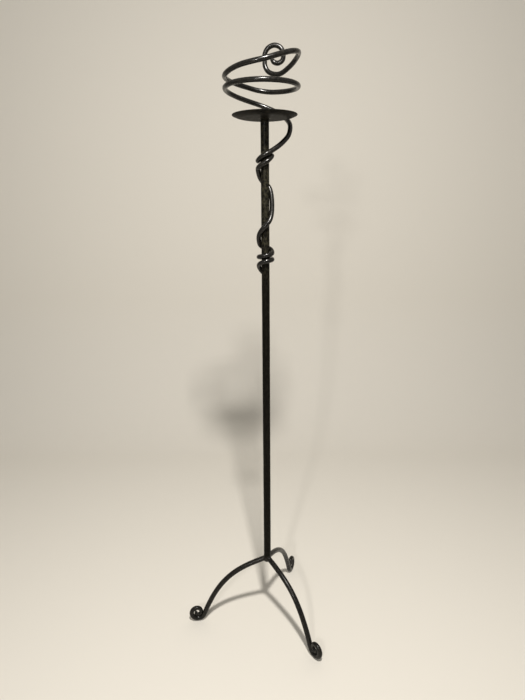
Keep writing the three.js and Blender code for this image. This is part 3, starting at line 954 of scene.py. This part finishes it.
# %% Fillets where the legs meet the pole
FILLET = 3.4
FILLET_STEPS = 8
ROOM_OVER_LIP = 0.6
BURIED_DEPTH = 4.0
BURIED_SHARE = 0.5
SUNK_SHARE = 0.8


def hollow_curve(first, corner, last, steps):
    """A quadratic curve from first to last that is drawn towards the corner."""
    u = np.linspace(0, 1, steps)[None, :, None]
    return (1 - u) ** 2 * first[:, None] + 2 * u * (1 - u) * corner[:, None] + u**2 * last[:, None]


def leg_fillet(heading_degrees, sides=56):
    """Round the leg, each line of the bar's surface meets the pole's wall at a corner. The
    fillet starts on the bar, its own size before the corner, and ends on the wall, as far beyond
    it. A point inside the bar and one inside the pole close it behind."""
    heading = np.radians(heading_degrees)
    out = np.array([np.cos(heading), np.sin(heading), 0.0])
    across = np.array([-np.sin(heading), np.cos(heading), 0.0])
    leaving = out * np.cos(HUB_SLOPE) - np.array([0.0, 0.0, np.sin(HUB_SLOPE)])
    square = np.cross(across, leaving) * -1.0
    turn = np.linspace(0, 2 * np.pi, sides, endpoint=False)[:, None]
    around = np.cos(turn) * across + np.sin(turn) * square
    centre = out * POLE_RADIUS + [0.0, 0.0, HUB_HEIGHT]
    bar = LEG_RADIUS - LEG_UNEVENNESS
    sideways = bar * np.cos(turn)
    wall = np.sqrt(POLE_RADIUS**2 - sideways**2)
    surface = centre + bar * around
    ahead = (surface @ out)[:, None]
    corner = surface + leaving * (wall - ahead) / np.cos(HUB_SLOPE)
    on_bar = corner + leaving * FILLET
    swing = (sideways + FILLET * np.cos(turn)) / POLE_RADIUS
    rise = corner[:, 2:] + FILLET * np.sin(turn)
    on_wall = POLE_RADIUS * (np.cos(swing) * out + np.sin(swing) * across)
    on_wall[:, 2:] = np.clip(rise, POLE_BOTTOM + ROOM_OVER_LIP, None)
    strip = hollow_curve(on_bar, corner, on_wall, FILLET_STEPS)
    in_pole = (centre - leaving * BURIED_DEPTH)[None, None, :] + BURIED_SHARE * (strip[:, -1:] - centre)
    in_bar = centre + leaving * FILLET + SUNK_SHARE * (strip[:, :1] - centre - leaving * FILLET)
    return np.concatenate([in_bar, strip, in_pole], 1)


def join_pieces(name, pieces):
    """Several meshes put into one piece."""
    with bpy.context.temp_override(active_object=pieces[0], selected_editable_objects=pieces):
        bpy.ops.object.join()
    pieces[0].name = name
    pieces[0].data.name = name
    return pieces[0]


fillets = [
    mesh_from_grid("fillet", from_pole_axis(leg_fillet(heading)), closed_round=True, closed_along=True)
    for heading in leg_headings.values()
]
hub_weld = join_pieces("hub_fillets", fillets)
dress(hub_weld, leg_iron, "blackened_iron", "weld_hub")
print("hub fillets: %d faces" % len(hub_weld.data.polygons))

# %% The fillet under the plate
PLATE_FILLET = 3.3
RING_SIDES = 72
RING_ROOT = POLE_RADIUS - 0.6
turn = np.linspace(0, np.pi / 2, 9)
hollow = np.stack([
    POLE_RADIUS + PLATE_FILLET * (1 - np.cos(turn)),
    pole_top_mm + CLEARANCE - PLATE_FILLET * (1 - np.sin(turn)),
], 1)
ring_start = [[RING_ROOT, hollow[0, 1] + 0.4]]
ring_end = [[RING_ROOT, hollow[-1, 1]]]
plate_ring = np.vstack([ring_start, hollow, ring_end])
around_ring = np.linspace(0, 2 * np.pi, RING_SIDES, endpoint=False)[None, :]
ripple = 0.12 * np.sin(23 * around_ring + 0.7 * np.sin(3 * around_ring)) * np.ones((len(plate_ring), 1))
ring_points = from_pole_axis(turned_points(plate_ring, RING_SIDES, ripple))
plate_weld = mesh_from_grid("plate_fillet", ring_points, closed_round=True, closed_along=True)
dress(plate_weld, pole_iron, "blackened_iron", "weld_plate")
print("plate fillet: %d faces" % len(plate_weld.data.polygons))

# %% The bead that joins the rod and the coil
BEAD_LENGTH = 6.6
BEAD_EDGE = ROD_RADIUS - 0.4
BEAD_SWELL = 1.3
BEAD_UNEVENNESS = 0.1
bead_gone = distance_along(flow) - distance_along(flow)[joint]
bead_marks = np.linspace(-BEAD_LENGTH / 2, BEAD_LENGTH / 2, 25)
bead_line = np.stack([np.interp(bead_marks, bead_gone, flow[:, k]) for k in range(3)], 1)
swell = np.sqrt(np.clip(1 - (2 * bead_marks / BEAD_LENGTH) ** 2, 0, 1))
bead_radius = BEAD_EDGE + BEAD_SWELL * swell
bead = forged_bar("rod_bead", bead_line, bead_radius, BEAD_UNEVENNESS, seed=1.1)
dress(bead, rod_iron, "rubbed_iron", "weld_coil")


# %% The tacks that hold the knots
def lump(name, low, high, seed):
    """A rounded lump in the box from low to high: a sphere's latitude and longitude, its radius
    carrying slow waves, stretched to the box."""
    latitude = np.linspace(-np.pi / 2, np.pi / 2, 19)[1:-1, None]
    longitude = np.linspace(0, 2 * np.pi, 32, endpoint=False)[None, :]
    round_it = 0.04 * np.sin(3 * longitude + seed) * np.cos(latitude)
    over_it = 0.02 * np.sin(5 * latitude + seed)
    radius = 0.94 + round_it + over_it
    unit = radius[..., None] * np.stack([
        np.cos(latitude) * np.cos(longitude),
        np.cos(latitude) * np.sin(longitude),
        np.sin(latitude) + 0 * longitude,
    ], -1)
    middle = np.array(low + high) / 2
    half = np.array(high - low) / 2
    return mesh_from_grid(name, middle + half * unit, closed_round=True, closed_ends=True)


for count, node in enumerate(("tack_lower_knot", "tack_upper_knot")):
    low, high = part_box(node)
    tack = lump(node.replace("tack", "lump"), low, high, 1.3 * count)
    dress(tack, rod_iron, "rubbed_iron", node)
print("welds: three hub fillets, a ring, a bead and two lumps")
